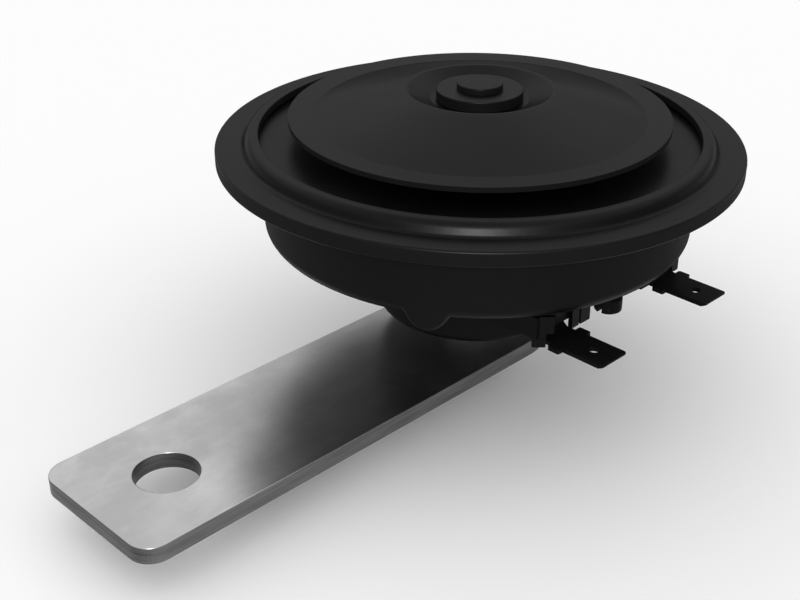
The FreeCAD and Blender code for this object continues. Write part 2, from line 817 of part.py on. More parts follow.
def breaker_arm(width, tip_width, tip_distance, bottom, top):
    """A flat arm, tapered to a rounded tip, with a wide hole round the stack's rivet."""
    half, tip_half = width / 2, tip_width / 2
    tip_round = arm_tip_round_share * tip_half
    stack_inner = -carrier_outer_distance + stack_length
    arm = plate([
        (-half, -carrier_outer_distance, 0), (half, -carrier_outer_distance, 0), (half, stack_inner, 0),
        (tip_half, -tip_distance, tip_round), (-tip_half, -tip_distance, tip_round), (-half, stack_inner, 0),
    ], bottom, top)
    arm = arm.cut(rod(stack_rivet_radius + arm_hole_gap, bottom, top, 0, -stack_distance))
    arm = arm.cut(rod(contact_shank_radius, bottom, top, 0, -contact_distance))
    arm.translate(Vector(adjuster_offset, 0, 0))
    return arm


def breaker_spring():
    return breaker_arm(spring_width, spring_tip_width, spring_tip_distance, spring_under, spring_top)


def breaker_fixed_arm():
    return breaker_arm(fixed_arm_width, fixed_arm_tip_width, fixed_arm_tip_distance,
                       fixed_arm_under, fixed_arm_top)


def stack_insulator(bottom, top):
    front, back = -carrier_outer_distance, -carrier_outer_distance + stack_length
    left, right = adjuster_offset - stack_width / 2, adjuster_offset + stack_width / 2
    block = plate(rectangle(left, right, front, back, stack_corner), bottom, top)
    bore = stack_rivet_radius + stack_rivet_gap
    return block.cut(rod(bore, bottom, top, adjuster_offset, -stack_distance))


def breaker_insulators():
    """Fibre plates under, between and over the two arms."""
    return Part.makeCompound([
        stack_insulator(carrier_top, spring_under),
        stack_insulator(spring_top, fixed_arm_under),
        stack_insulator(fixed_arm_top, stack_top),
    ])


def breaker_rivet():
    return small_rivet(stack_rivet_radius, carrier_under, stack_top, adjuster_offset, -stack_distance)


def contact(face, seat, shank_end):
    """A contact button from its face to its seat, with a shank through the arm behind the seat."""
    button = rod(contact_radius, min(face, seat), max(face, seat))
    shank = rod(contact_shank_radius, min(seat, shank_end), max(seat, shank_end))
    shape = button.fuse(shank)
    shape.translate(Vector(adjuster_offset, -contact_distance, 0))
    return shape


def moving_contact():
    return contact(spring_top + contact_height, spring_top, spring_under)


def fixed_contact():
    return contact(spring_top + contact_height, fixed_arm_under, fixed_arm_top)


def lead_starts():
    """Where the two coil leads come up through the bobbin's flange, left and right."""
    radius = coil_radius - winding_margin - lead_notch_radius
    sideways = radius * math.sin(math.radians(lead_start_angle))
    forwards = radius * math.cos(math.radians(lead_start_angle))
    return [(-sideways, -forwards), (sideways, -forwards)]


def wire_lead(points):
    """A round lead along straight runs, joined by arcs as large as a share of the shorter run allows."""
    spots = [Vector(*point) for point in points]
    edges = []
    start = spots[0]
    for before, corner, after in zip(spots, spots[1:], spots[2:]):
        half_angle = (before - corner).getAngle(after - corner) / 2
        shorter = min((before - corner).Length, (after - corner).Length)
        bend = lead_bend_share * shorter * math.tan(half_angle)
        enter, middle, leave = corner_arc(before, corner, after, bend)
        edges.append(Part.LineSegment(start, enter).toShape())
        edges.append(Part.Arc(enter, middle, leave).toShape())
        start = leave
    edges.append(Part.LineSegment(start, spots[-1]).toShape())
    section = Part.Wire([Part.makeCircle(lead_radius, spots[0], spots[1] - spots[0])])
    return Part.Wire(edges).makePipeShell([section], True, False)


def tag_end(x):
    """Where a lead lies against a tag's tail: its place across the part and the heights of its ends."""
    y = -terminal_rivet_distance + tag_tail_reach + lead_radius
    return (x, y, bobbin_top + lead_rise), (x, y, tag_top + lead_radius)


def coil_lead_to_tag():
    """From the winding over to the left tag."""
    x, y = lead_starts()[0]
    return wire_lead([(x, y, bobbin_top - bobbin_wall), (x, y, bobbin_top + lead_rise),
                      *tag_end(terminal_offsets()[0])])


def coil_lead_to_breaker():
    """From the winding round to the top of the breaker's spring."""
    x, y = lead_starts()[1]
    height = spring_top + lead_radius
    side = adjuster_offset + fixed_arm_width / 2 + lead_side_room
    spot = -carrier_outer_distance + stack_length + lead_arm_inset
    return wire_lead([(x, y, bobbin_top - bobbin_wall), (x, y, bobbin_top + lead_rise),
                      (side, spot, height), (adjuster_offset, spot, height)])


def breaker_lead_to_tag():
    """From the top of the fixed arm across to the right tag."""
    height = fixed_arm_top + lead_radius
    spot = -carrier_outer_distance + stack_length + lead_arm_inset
    x = terminal_offsets()[1]
    upper, lower = tag_end(x)
    return wire_lead([(adjuster_offset, spot, height), (x, spot, height), upper, lower])


def export(pieces):
    os.makedirs("parts", exist_ok=True)
    for name, shape in pieces.items():
        placed = shape.copy()
        placed.translate(Vector(bar_reach, 0, 0))
        if placed.ShapeType == "Compound" and len(placed.Solids) == 1:
            placed = placed.Solids[0]
        placed.exportStep(f"parts/{name}.step")
        print(name, len(placed.Solids), placed.isValid(), round(placed.Volume, 2))


export({
    "bracket_bar": bracket_bar(),
    "seat_nut": hex_nut(nut_width, bar_thickness, cup_bottom, stud_radius + thread_gap),
    "lock_washer": lock_washer(),
    "bracket_nut": hex_nut(nut_width, bracket_nut_top - bracket_nut_height, bracket_nut_top,
                           stud_radius + thread_gap),
    "rear_housing": rear_housing(),
    "front_ring": front_ring(),
    "lower_gasket": gasket(flange_top),
    "upper_gasket": gasket(diaphragm_edge_top),
    "diaphragm": diaphragm(),
    "tone_disc": tone_disc(),
    "clamp_washer": clamp_washer(),
    "tone_disc_spacer": tone_disc_spacer(),
    "armature_stud": armature_stud(),
    "armature": armature(),
    "breaker_pusher": breaker_pusher(),
    "magnet_core": magnet_core(),
    "coil_retainer": coil_retainer(),
    "coil_bobbin": coil_bobbin(),
    "coil_winding": coil_winding(),
    "terminal_board": terminal_board(),
    "terminal_blade_left": terminal_blade(-terminal_spacing / 2),
    "terminal_blade_right": terminal_blade(terminal_spacing / 2),
    "terminal_rivets": terminal_rivets(),
    "inner_insulators": inner_insulators(),
    "solder_tags": solder_tags(),
    "adjuster_screw": adjuster_screw(),
    "adjuster_nut": adjuster_nut(),
    "breaker_carrier": breaker_carrier(),
    "carrier_rivets": carrier_rivets(),
    "breaker_spring": breaker_spring(),
    "breaker_fixed_arm": breaker_fixed_arm(),
    "breaker_insulators": breaker_insulators(),
    "breaker_rivet": breaker_rivet(),
    "moving_contact": moving_contact(),
    "fixed_contact": fixed_contact(),
    "coil_lead_to_tag": coil_lead_to_tag(),
    "coil_lead_to_breaker": coil_lead_to_breaker(),
    "breaker_lead_to_tag": breaker_lead_to_tag(),
})
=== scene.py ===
"""Disc horn on a flat bar: its visible surfaces, its finishes and the stage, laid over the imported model.

Lengths are metres. The row's frame has its origin in the bar's fixing hole. The horn's axis is vertical.
"""
import math

import bmesh
import bpy
import numpy as np
from bpy.props import FloatProperty, FloatVectorProperty, IntProperty, PointerProperty
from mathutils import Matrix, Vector
from mathutils.geometry import tessellate_polygon


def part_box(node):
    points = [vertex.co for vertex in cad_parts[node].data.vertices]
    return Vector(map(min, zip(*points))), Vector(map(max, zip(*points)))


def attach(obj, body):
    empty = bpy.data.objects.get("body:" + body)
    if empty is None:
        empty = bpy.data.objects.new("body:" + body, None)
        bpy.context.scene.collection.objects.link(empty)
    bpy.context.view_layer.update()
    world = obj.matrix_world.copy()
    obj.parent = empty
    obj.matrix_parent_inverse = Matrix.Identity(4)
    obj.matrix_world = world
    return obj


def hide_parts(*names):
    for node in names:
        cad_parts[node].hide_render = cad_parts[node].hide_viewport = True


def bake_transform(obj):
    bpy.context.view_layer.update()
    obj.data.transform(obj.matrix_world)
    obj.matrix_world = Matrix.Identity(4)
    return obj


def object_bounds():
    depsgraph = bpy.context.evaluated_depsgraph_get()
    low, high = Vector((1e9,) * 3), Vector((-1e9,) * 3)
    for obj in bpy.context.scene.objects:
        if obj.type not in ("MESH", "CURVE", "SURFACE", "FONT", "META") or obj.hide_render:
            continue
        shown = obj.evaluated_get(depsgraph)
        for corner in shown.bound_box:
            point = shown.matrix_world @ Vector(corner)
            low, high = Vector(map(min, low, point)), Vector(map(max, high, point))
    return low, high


bl_info = {
    "name": "Disc Horn",
    "version": (1, 0, 0),
    "blender": (4, 5, 0),
    "location": "View3D > Sidebar > Horn",
    "description": "Visible surfaces, finishes and stage of a disc horn on a flat bar",
    "category": "Object",
}

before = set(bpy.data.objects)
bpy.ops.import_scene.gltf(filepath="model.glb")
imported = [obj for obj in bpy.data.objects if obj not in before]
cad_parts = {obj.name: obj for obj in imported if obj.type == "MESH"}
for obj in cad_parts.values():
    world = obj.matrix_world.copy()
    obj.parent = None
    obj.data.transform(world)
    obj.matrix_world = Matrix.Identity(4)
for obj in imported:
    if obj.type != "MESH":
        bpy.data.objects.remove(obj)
CAD_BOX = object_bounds()
BODY = "horn_body"
VIBRATOR = "vibrator"
TURN = 2 * math.pi
# Points closer than this count as touching.
TOUCHING = 1e-7


def low(node):
    """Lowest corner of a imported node."""
    return np.array(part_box(node)[0])


def high(node):
    """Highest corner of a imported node."""
    return np.array(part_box(node)[1])


def middle(node):
    """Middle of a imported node's box."""
    return (low(node) + high(node)) / 2


def reach(node):
    """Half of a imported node's width along x, which is the radius of a turned piece."""
    return (high(node)[0] - low(node)[0]) / 2


AXIS = middle("front_ring")[:2]


# Sizes, finishes and stage settings

def length(name, description, default):
    return FloatProperty(name=name, description=description, default=default, min=0.0, unit="LENGTH")


def share(name, description, default):
    return FloatProperty(name=name, description=description, default=default, min=0.0, max=2.0,
                         subtype="FACTOR")


def colour(name, description, default):
    return FloatVectorProperty(name=name, description=description, default=default, size=3,
                               subtype="COLOR", min=0.0, max=1.0)


def spot(name, description, default):
    return FloatVectorProperty(name=name, description=description, default=default, size=3,
                               subtype="TRANSLATION", unit="LENGTH")


def camera_length(name, description, millimetres):
    return FloatProperty(name=name, description=description, default=millimetres, unit="CAMERA")


def angle(name, description, degrees):
    return FloatProperty(name=name, description=description, default=math.radians(degrees), subtype="ANGLE")


class HornSizes(bpy.types.PropertyGroup):
    turn_steps: IntProperty(name="Turn steps", description="Steps round each turned surface", default=288)
    bar_corner: length("Bar corner", "Radius of the free end's corners", 0.004)
    bar_edge: length("Bar edge", "Rounding of the bar's edges", 0.00018)
    bar_hole: length("Fixing hole", "Radius of the fixing hole", 0.0053)
    stud: length("Stud", "Radius of the threaded stud", 0.004)
    stud_hole: length("Stud hole", "Radius of the holes that the stud goes through", 0.0042)
    stud_chamfer: length("Stud chamfer", "Chamfer on the stud's end", 0.0005)
    core_groove: length("Core groove", "Depth of the groove for the coil's clip", 0.0005)
    cup_radius: length("Cup radius", "Rear cup, outside", 0.018)
    cup_draft: length("Cup draft", "How much the cup widens upwards", 0.0005)
    cup_edge: length("Cup edge", "Rounding of the cup's lower edge", 0.0018)
    pan_radius: length("Pan radius", "Pan at its lower edge", 0.0384)
    pan_draft: length("Pan draft", "How much the pan widens upwards", 0.0008)
    pan_edge: length("Pan edge", "Rounding of the pan's lower edge", 0.0026)
    shoulder: length("Shoulder", "Rounding between cup and pan, and under the flange", 0.0022)
    housing_sheet: length("Housing sheet", "Thickness of the housing", 0.0008)
    rib_radius: length("Rib radius", "Round bottom of the rib", 0.004)
    rib_drop: length("Rib drop", "How far the rib stands under the pan", 0.0022)
    rib_length: length("Rib length", "From the rib's end to the pan's wall", 0.0144)
    rib_edge: length("Rib edge", "Rounding where the rib meets the wall", 0.0009)
    rib_blend: length("Rib blend", "Softness of the crease round the rib", 0.0007)
    rib_angle: angle("Rib angle", "Direction of the rib", 210)
    rib_span: angle("Rib span", "Angle each side of the rib's line that holds all of the rib", 14)
    ring_sheet: length("Ring sheet", "Thickness of the front ring", 0.0006)
    ring_lip: length("Ring lip", "Radius of the ring's inner lip", 0.0389)
    lip_width: length("Lip width", "Flat of the bead beside the lip", 0.002)
    lip_drop: length("Lip drop", "How far the inner lip turns down", 0.0013)
    bead_height: length("Bead height", "Bead above the flat rim", 0.00205)
    bead_slope: length("Bead slope", "Width of the bead's outer slope", 0.001)
    bead_crown: length("Bead crown", "Rounding on top of the bead", 0.0016)
    bead_foot: length("Bead foot", "Rounding at the bead's foot", 0.0007)
    rim_edge: length("Rim edge", "Rounding of the rim's two outer edges", 0.0004)
    hem_width: length("Hem", "Width of the hem under the flange", 0.0036)
    diaphragm_sheet: length("Diaphragm sheet", "Thickness of the diaphragm", 0.00025)
    diaphragm_foot: length("Diaphragm foot", "Radius where its step starts to rise", 0.0413)
    diaphragm_step: length("Diaphragm step", "Width of that step", 0.0013)
    diaphragm_bend: length("Diaphragm bend", "Radius of the step's bends", 0.0009)
    disc_sheet: length("Disc sheet", "Thickness of the tone disc", 0.0009)
    disc_lip: length("Disc lip", "Width of the flat lip", 0.0043)
    disc_lip_drop: length("Disc lip drop", "Fall across the lip", 0.0001)
    disc_crest: length("Disc crest", "Radius of the crest round the dish", 0.01296)
    disc_seat: length("Disc seat", "Radius of the flat seat", 0.0086)
    disc_bend: length("Disc bend", "Inside radius of the disc's bends", 0.0011)
    disc_crease: length("Disc crease", "Inside radius of the bend beside the lip", 0.0003)
    disc_fall: length("Disc fall", "Height from the crest to the lip", 0.0045)
    pin_bore: length("Pin bore", "Radius of the holes that the pin goes through", 0.003051)
    pin_gap: length("Pin gap", "Play of the pin in its holes", 0.00005)
    small_edge: length("Small edge", "Rounding of washers and heads", 0.00022)
    thread_pitch: length("Stud pitch", "Pitch of the stud's thread", 0.00125)
    screw_pitch: length("Screw pitch", "Pitch of the adjuster's thread", 0.0008)
    thread_depth: share("Thread depth", "Depth of a thread as a share of its pitch", 0.54)
    slot_width: length("Slot width", "Slot in the adjuster's end", 0.0008)
    slot_depth: length("Slot depth", "Depth of that slot", 0.0012)
    screw_collar: length("Screw collar", "Plain length between the slot and the thread", 0.0013)


class HornFinishes(bpy.types.PropertyGroup):
    paint: colour("Paint", "Black paint of housing, ring and disc", (0.0026, 0.0026, 0.0027))
    paint_light: colour("Paint, thin", "The same paint where it is thinner", (0.0042, 0.0042, 0.0043))
    zinc: colour("Zinc", "Plating of the bar", (0.41, 0.41, 0.41))
    zinc_cloud: colour("Zinc, cloudy", "Lighter clouds in the plating", (0.60, 0.60, 0.605))
    # Painted shade: the bar's cut ends and long sides take these darker colours in place of the top's tint;
    # the streaks are real.
    zinc_streak_and_end_shade: colour("Zinc, cut", "Cut ends of the bar and dark streaks", (0.05, 0.05, 0.05))
    zinc_streak_and_side_shade: colour("Zinc, rolled", "Long sides of the bar and light streaks", (0.195, 0.195, 0.195))
    steel: colour("Steel", "Plain turned steel", (0.34, 0.34, 0.34))
    moulding: colour("Moulding", "Terminal board", (0.0025, 0.0025, 0.0027))
    blade: colour("Blades", "Painted blades", (0.0075, 0.0075, 0.0075))
    copper: colour("Copper", "Enamelled winding", (0.56, 0.20, 0.07))
    brass: colour("Brass", "Rivets and tags", (0.60, 0.42, 0.16))
    fibre: colour("Fibre", "Washers and plates", (0.20, 0.085, 0.035))
    paper: colour("Gasket", "Pressed gasket paper", (0.12, 0.10, 0.075))
    bobbin: colour("Bobbin", "Natural moulding", (0.55, 0.52, 0.43))
    sleeve: colour("Leads", "Dark lacquer on the leads", (0.03, 0.03, 0.033))
    paint_rough: share("Paint roughness", "Roughness of the paint on level faces", 0.31)
    paint_dull: share("Paint dullness", "Roughness added on walls and at grazing angles", 0.5)
    zinc_rough: share("Zinc roughness", "Least roughness of the bar", 0.276)
    fixing_rough: share("Fixing roughness", "Least roughness of nuts, washers and bright inner metal", 0.28)
    turning_pitch: length("Turning pitch", "Distance between turning marks", 0.0002618)
    wire_pitch: length("Wire pitch", "Distance between turns of the winding", 0.00045)
    paint_ior: share("Paint gloss", "Refractive index of the paint", 1.2)
    moulding_ior: share("Moulding gloss", "Refractive index of the board's moulding", 1.17)
    blade_ior: share("Blade gloss", "Refractive index of the blades' finish", 1.1)


class HornStage(bpy.types.PropertyGroup):
    camera_place: spot("Camera", "Where the camera stands", (-0.08855, -0.1403, 0.1217))
    camera_target: spot("Target", "What the camera looks at", (0.04715, -0.0045, 0.0173))
    lens: camera_length("Lens", "Focal length in millimetres", 57.12)
    sensor: camera_length("Sensor", "Width of the sensor in millimetres", 36.0)
    near: length("Near limit", "Nearest distance that the camera sees", 0.01)
    floor_radius: length("Floor", "Radius of the floor", 4.0)
    floor_gap: length("Floor gap", "Air between the part and the floor", 0.0002)
    floor_colour: colour("Floor colour", "Pale floor", (0.96, 0.96, 0.96))
    floor_lift: share("Floor lift", "Extra white of the floor as seen", 0.06)
    sky: share("Sky", "Strength of the white surroundings overhead", 1.1)
    horizon_sky: share("Sky, low", "Strength of the surroundings near the horizon", 0.28)
    sky_tilt: share("Sky tilt", "How much lower the full sky reaches on the picture's left", 0.05)
    horizon: angle("Horizon", "Height up to which the sky stays low", 18)
    zenith: angle("Full sky", "Height from which the sky is full", 31)
    lamp: FloatProperty(name="Lamp", description="Power of the lamp beside the camera", default=7.5,
                        unit="POWER")
    lamp_size: length("Lamp size", "Side of the square lamp", 0.10)
    lamp_place: spot("Lamp place", "Where the lamp stands", (-0.465, -0.483, 0.38))
    lamp_height: length("Lamp aim", "Height of the point on the horn's axis that the lamp faces", 0.04)


def sizes():
    return bpy.context.scene.horn_sizes


def finishes():
    return bpy.context.scene.horn_finishes


# Paths, loops and surfaces

def rounded_path(corners, closed=False, arc_steps=7, run_steps=5, least_gap=1e-8):
    """Straight runs joined by arcs, from rows of u, v and corner radius.

    On a corner with unit sides a and b and half angle h, the arc's centre is r / sin h along a + b, and
    the arc turns evenly from one tangent point to the other. A run's points crowd towards its two ends.
    """
    rows = np.array(corners, dtype=float)
    spots, radii = rows[:, :2], rows[:, 2].copy()
    if not closed:
        radii[[0, -1]] = 0
    behind, ahead = np.roll(spots, 1, axis=0) - spots, np.roll(spots, -1, axis=0) - spots
    behind /= np.linalg.norm(behind, axis=1, keepdims=True)
    ahead /= np.linalg.norm(ahead, axis=1, keepdims=True)
    half = np.arccos(np.clip((behind * ahead).sum(axis=1), -0.999999, 0.999999)) / 2
    trim = (radii / np.tan(half))[:, None]
    start, end = spots + behind * trim, spots + ahead * trim
    bisector = behind + ahead
    bisector /= np.linalg.norm(bisector, axis=1, keepdims=True)
    centre = spots + bisector * (radii / np.sin(half))[:, None]
    sweep = (math.pi - 2 * half)[:, None]
    t = np.linspace(0, 1, arc_steps + 1)[None]
    from_start = (np.sin((1 - t) * sweep) / np.sin(sweep))[..., None]
    from_end = (np.sin(t * sweep) / np.sin(sweep))[..., None]
    arcs = centre[:, None] + from_start * (start - centre)[:, None] + from_end * (end - centre)[:, None]
    s = ((1 - np.cos(math.pi * np.arange(1, run_steps) / run_steps)) / 2)[None, :, None]
    runs = end[:, None] * (1 - s) + np.roll(start, -1, axis=0)[:, None] * s
    path = np.concatenate([arcs, runs], axis=1).reshape(-1, 2)
    if not closed:
        path = path[:len(path) - (run_steps - 1)]
    kept = np.linalg.norm(np.diff(path, axis=0, append=path[:1]), axis=1) > least_gap
    kept[-1] |= not closed
    return path[kept]


def mitred_normals(path, closed):
    """Normals to the right of a path's direction, longer at bends so that an offset keeps its distance."""
    ahead = np.roll(path, -1, axis=0) - path
    if not closed:
        ahead[-1] = ahead[-2]
    ahead /= np.linalg.norm(ahead, axis=1, keepdims=True)
    normal = np.stack([ahead[:, 1], -ahead[:, 0]], axis=1)
    earlier = np.roll(normal, 1, axis=0)
    if not closed:
        earlier[0] = normal[0]
    return (earlier + normal) / (1 + (earlier * normal).sum(axis=1))[:, None]


def sheet_loop(corners, gap):
    """A closed section: a rounded path and its copy moved to the left by gap."""
    path = rounded_path(corners)
    return np.concatenate([path, (path - gap * mitred_normals(path, False))[::-1]])


def woven(points, closed):
    """A smooth surface from points in rows and columns, with quads between neighbours.

    Quads also join the last row to the first and, if closed, the last column to the first. Like every
    surface here it is returned as its points, its faces and whether they are smooth.
    """
    rows, columns = points.shape[:2]
    i, j = np.meshgrid(np.arange(rows), np.arange(columns - (not closed)), indexing="ij")
    i_next, j_next = (i + 1) % rows, (j + 1) % columns
    quads = np.stack([i * columns + j, i_next * columns + j, i_next * columns + j_next,
                      i * columns + j_next], axis=-1)
    return points.reshape(-1, 3), quads.reshape(-1, 4), True


def around(centre, angles, radii, heights, closed=True):
    """x = cx + r cos a, y = cy + r sin a, z = h, with a row for each angle a, a column for each r and h."""
    angles = angles[:, None]
    x, y = centre[0] + np.cos(angles) * radii, centre[1] + np.sin(angles) * radii
    return woven(np.stack([x, y, np.broadcast_to(heights, x.shape)], axis=-1), closed)


def turned(section, closed=True, centre=AXIS):
    """A section's points (r, h) turned about a vertical axis."""
    angles = np.linspace(0, TURN, sizes().turn_steps, endpoint=False)
    return around(centre, angles, section[:, 0], section[:, 1], closed)


def turned_solid(corners, centre=AXIS):
    """A turned piece whose section starts and ends on the axis."""
    return turned(rounded_path(corners, arc_steps=5), closed=False, centre=centre)


def turned_ring(corners):
    """A turned piece with a closed section that stays clear of the axis."""
    return turned(rounded_path(corners, closed=True, arc_steps=5))


def arc(centre, radius, start, end, steps):
    """Points of an arc: centre + r (cos a, sin a) for angles a from start to end."""
    angles = np.linspace(start, end, steps + 1)[:, None]
    return np.asarray(centre) + radius * np.hstack([np.cos(angles), np.sin(angles)])


def circle(centre, radius, steps=96, clockwise=False):
    """Points of a circle, each one once."""
    return arc(centre, radius, 0, -TURN if clockwise else TURN, steps)[:-1]


def plate(loops, bottom, top, edge):
    """A flat plate. Each loop's wall is loop - inset * normal along a rounded edge section (inset, height).

    The first loop is the outline, counter-clockwise, and the others are holes, clockwise.
    """
    section = rounded_path([(edge, bottom, 0), (0, bottom, edge), (0, top, edge), (edge, top, 0)],
                           arc_steps=4, run_steps=2)
    inset, height = section[:, 0], section[:, 1]
    surfaces = []
    rims = []
    for loop in loops:
        normal = mitred_normals(loop, True)
        flat = loop[:, None] - inset[None, :, None] * normal[:, None]
        raised = np.broadcast_to(height[None, :, None], flat.shape[:2] + (1,))
        points = np.concatenate([flat, raised], axis=2)
        surfaces.append(woven(points, closed=False))
        rims.append(flat[:, 0])
    corners = np.concatenate(rims)
    triangles = np.array(tessellate_polygon([[Vector((u, v, 0)) for u, v in rim] for rim in rims]))
    for level in (bottom, top):
        lid = np.column_stack([corners, np.full(len(corners), level)])
        surfaces.append((lid, triangles, False))
    return surfaces


def threaded_rod(centre, bottom, top, radius, pitch, chamfer, steps=96, levels_per_turn=12):
    """Radius = r - d |2 frac(z / p - a / 2 pi) - 1| at height z and angle a, with a chamfered lower end."""
    depth = sizes().thread_depth * pitch
    angles = np.linspace(0, TURN, steps, endpoint=False)
    heights = np.linspace(bottom, top, int(levels_per_turn * (top - bottom) / pitch))[None]
    phase = (heights / pitch - angles[:, None] / TURN) % 1.0
    radii = radius - depth * np.abs(2 * phase - 1)
    radii = np.minimum(radii, radius - chamfer + heights - bottom)
    radii = np.pad(radii, ((0, 0), (1, 1)))
    heights = np.pad(heights, ((0, 0), (1, 1)), mode="edge")
    return around(centre, angles, radii, heights, closed=False)


def hex_nut(node, bore, chamfer_angle=math.radians(30), flat_share=0.96, sink_share=0.06, side_steps=24):
    """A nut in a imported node's place.

    With flats 2 w apart its radius is w / cos(a'), a' being the angle from the nearest flat's middle, and
    both ends are cut by cones that start at a share of w. The bore's mouths are sunk by another share.
    """
    bottom, top = low(node)[2], high(node)[2]
    flats = (high(node)[1] - low(node)[1]) / 2
    angles = np.linspace(0, TURN, 6 * side_steps, endpoint=False)
    from_flat = (angles[:, None] % (TURN / 6)) - TURN / 12
    corner = flats / np.cos(from_flat)
    land = flat_share * flats
    fall = (corner - land) * math.tan(chamfer_angle)
    sink = sink_share * flats
    one = np.ones_like(corner)
    radii = np.hstack([bore * one, (bore + sink) * one, land * one, corner, corner, land * one,
                       (bore + sink) * one, bore * one])
    heights = np.hstack([(bottom + sink) * one, bottom * one, bottom * one, bottom + fall, top - fall,
                         top * one, top * one, (top - sink) * one])
    return around(middle(node), angles, radii, heights)


# Pieces

def make_piece(name, surfaces, finish, body, replaced, crease=math.radians(28), flex=None):
    """One mesh from several surfaces, merged where they meet, with its faces turned outwards.

    With flex, a start and an end point, the piece is not attached to a body and keeps its place in its own
    points; the two points are not used.
    """
    counts = np.cumsum([0] + [len(points) for points, _, _ in surfaces])
    points = np.concatenate([points for points, _, _ in surfaces])
    faces = [face for (_, quads, _), first in zip(surfaces, counts) for face in (quads + first).tolist()]
    smooth = np.concatenate([np.full(len(quads), is_smooth) for _, quads, is_smooth in surfaces])
    mesh = bpy.data.meshes.new(name)
    mesh.from_pydata(points, [], faces)
    mesh.polygons.foreach_set("use_smooth", smooth)
    work = bmesh.new()
    work.from_mesh(mesh)
    bmesh.ops.remove_doubles(work, verts=work.verts, dist=TOUCHING)
    bmesh.ops.recalc_face_normals(work, faces=work.faces)
    work.to_mesh(mesh)
    work.free()
    smooth = np.empty(len(mesh.polygons), dtype=bool)
    mesh.polygons.foreach_get("use_smooth", smooth)
    # This call makes every face smooth, so the flat ones are set again.
    mesh.set_sharp_from_angle(angle=crease)
    mesh.polygons.foreach_set("use_smooth", smooth)
    piece = bpy.data.objects.new(name, mesh)
    bpy.context.scene.collection.objects.link(piece)
    mesh.materials.append(material(finish))
    if flex:
        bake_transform(piece)
    else:
        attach(piece, body)
    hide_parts(*replaced)


def dress(node, finish):
    """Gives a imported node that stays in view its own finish."""
    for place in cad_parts[node].material_slots:
        place.material = material(finish)


# Shader expressions

class Wire:
    """A socket that can be used in a Python expression on numbers."""

    def __init__(self, bench, socket):
        self.bench = bench
        self.socket = socket

    def __add__(self, other):
        return self.bench.math("ADD", self, other)

    def __mul__(self, other):
        return self.bench.math("MULTIPLY", self, other)

    def __sub__(self, other):
        return self.bench.math("SUBTRACT", self, other)

    def __rsub__(self, other):
        return self.bench.math("SUBTRACT", other, self)

    def __pow__(self, other):
        return self.bench.math("POWER", self, other)

    def __abs__(self):
        return self.bench.math("ABSOLUTE", self, 0.0)

    __radd__ = __add__
    __rmul__ = __mul__

    def larger(self, other):
        return self.bench.math("MAXIMUM", self, other)

    def sine(self):
        return self.bench.math("SINE", self, 0.0)

    def root(self):
        return self.bench.math("SQRT", self, 0.0)

    def between(self, start, end):
        """0 below start, 1 above end and smooth in between; start may be the larger."""
        made = self.bench.node("ShaderNodeMapRange", {"interpolation_type": "SMOOTHSTEP", "clamp": True},
                               {"Value": self, "From Min": start, "From Max": end})
        return Wire(self.bench, made.outputs["Result"])


class Bench:
    """The node tree of a material or a world, built from expressions."""

    def __init__(self, made):
        self.made = made
        made.use_nodes = True
        self.tree = made.node_tree

    def node(self, kind, settings, inputs):
        made = self.tree.nodes.new(kind)
        for key, value in settings.items():
            setattr(made, key, value)
        self.feed(made, inputs)
        return made

    def feed(self, made, inputs):
        for key, value in inputs.items():
            socket = made.inputs[key]
            if isinstance(value, Wire):
                self.tree.links.new(value.socket, socket)
            else:
                socket.default_value = value

    def math(self, operation, first, second):
        made = self.node("ShaderNodeMath", {"operation": operation}, {0: first, 1: second})
        return Wire(self, made.outputs[0])

    def place(self, scale=(1, 1, 1), centre=(0, 0, 0)):
        """Object coordinates, counted from centre and stretched by scale."""
        source = self.node("ShaderNodeTexCoord", {}, {})
        shift = tuple(-c * s for c, s in zip(centre, scale))
        made = self.node("ShaderNodeMapping", {}, {"Vector": Wire(self, source.outputs["Object"]),
                                                  "Location": shift, "Scale": scale})
        return Wire(self, made.outputs["Vector"])

    def axes(self, vector):
        made = self.node("ShaderNodeSeparateXYZ", {}, {"Vector": vector})
        return [Wire(self, socket) for socket in made.outputs]

    def slants(self):
        """How far the surface faces along x, y and z: z is 1 on a level top and 0 on a wall."""
        source = self.node("ShaderNodeNewGeometry", {}, {})
        return [abs(wire) for wire in self.axes(Wire(self, source.outputs["True Normal"]))]

    def facing(self):
        """0 where the surface is seen square on and 1 where it is seen edge on."""
        return Wire(self, self.node("ShaderNodeLayerWeight", {}, {"Blend": 0.5}).outputs["Facing"])

    def noise(self, vector, scale, detail, roughness=0.55):
        made = self.node("ShaderNodeTexNoise", {}, {"Vector": vector, "Scale": scale, "Detail": detail,
                                                   "Roughness": roughness})
        return Wire(self, made.outputs[0])

    def blend(self, factor, first, second):
        """A colour between two colours, from a Mix node's seventh and eighth inputs to its third output."""
        first, second = [end if isinstance(end, Wire) else (*end, 1.0) for end in (first, second)]
        made = self.node("ShaderNodeMix", {"data_type": "RGBA"}, {0: factor, 6: first, 7: second})
        return Wire(self, made.outputs[2])

    def bump(self, height, distance, strength=1.0):
        inputs = {"Height": height, "Distance": distance, "Strength": strength}
        made = self.node("ShaderNodeBump", {}, inputs)
        return Wire(self, made.outputs["Normal"])

    def finish(self, shader, **inputs):
        """Feeds a shader; underscores in a key stand for spaces in the socket's name."""
        self.feed(self.tree.nodes[shader], {key.replace("_", " "): value for key, value in inputs.items()})
        return self.made

    def surface(self, **inputs):
        return self.finish("Principled BSDF", **inputs)


# Finishes

